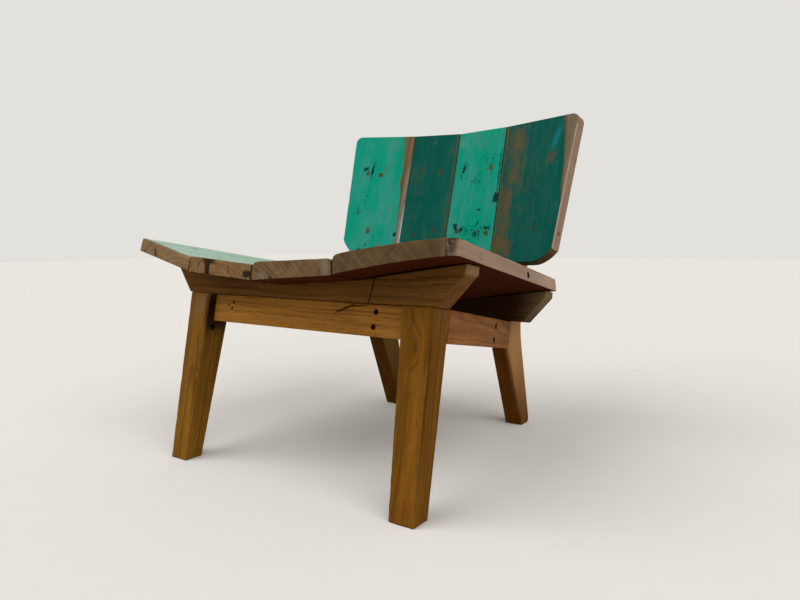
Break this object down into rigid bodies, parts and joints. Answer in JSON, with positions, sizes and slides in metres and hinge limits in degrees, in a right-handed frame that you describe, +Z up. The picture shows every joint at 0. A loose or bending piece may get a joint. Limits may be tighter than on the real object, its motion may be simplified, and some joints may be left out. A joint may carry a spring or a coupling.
{
  "type": "lounge chair",
  "caption": "Low armless lounge chair of reclaimed painted teak boards: a dished, sloping seat and a dished, leaning back on a mortised frame of tapered legs and bent rear posts.",
  "frame": {"origin": "bottom centre of the chair's box, on the floor", "axes": "+Z up, -Y the way the chair faces, +X to the right of someone who faces the chair; left and right in names are as that person sees them"},
  "size_m": [0.7456, 0.7197, 0.7229],
  "materials": {
    "emerald_board": "worn emerald paint over raw teak",
    "teal_board": "worn dark teal paint over raw teak",
    "mint_board": "weathered pale mint paint over raw teak",
    "golden_teak": "oiled golden-brown teak",
    "red_teak": "oiled reddish-brown teak",
    "dark_teak": "dark reclaimed teak, unpolished",
    "screw_steel": "plain steel"
  },
  "bodies": {
    "root": {"back_board_1": "emerald_board", "back_board_3": "emerald_board", "seat_board_3": "emerald_board", "back_board_2": "teal_board", "back_board_4": "teal_board", "seat_board_4": "teal_board", "seat_board_1": "mint_board", "seat_board_2": "mint_board", "front_leg_left": "golden_teak", "front_leg_right": "golden_teak", "rear_post_left": "golden_teak", "rear_post_right": "golden_teak", "front_apron": "golden_teak", "rear_apron": "golden_teak", "side_apron_left": "red_teak", "side_apron_right": "red_teak", "front_bearer": "dark_teak", "rear_bearer": "dark_teak", "upper_back_batten": "dark_teak", "lower_back_batten": "dark_teak", "front_bearer_screw_left": "screw_steel", "front_bearer_screw_right": "screw_steel", "rear_bearer_screw_left": "screw_steel", "rear_bearer_screw_right": "screw_steel", "upper_back_batten_screw_left": "screw_steel", "upper_back_batten_screw_right": "screw_steel", "lower_back_batten_screw_left": "screw_steel", "lower_back_batten_screw_right": "screw_steel"}
  },
  "joints": []
}
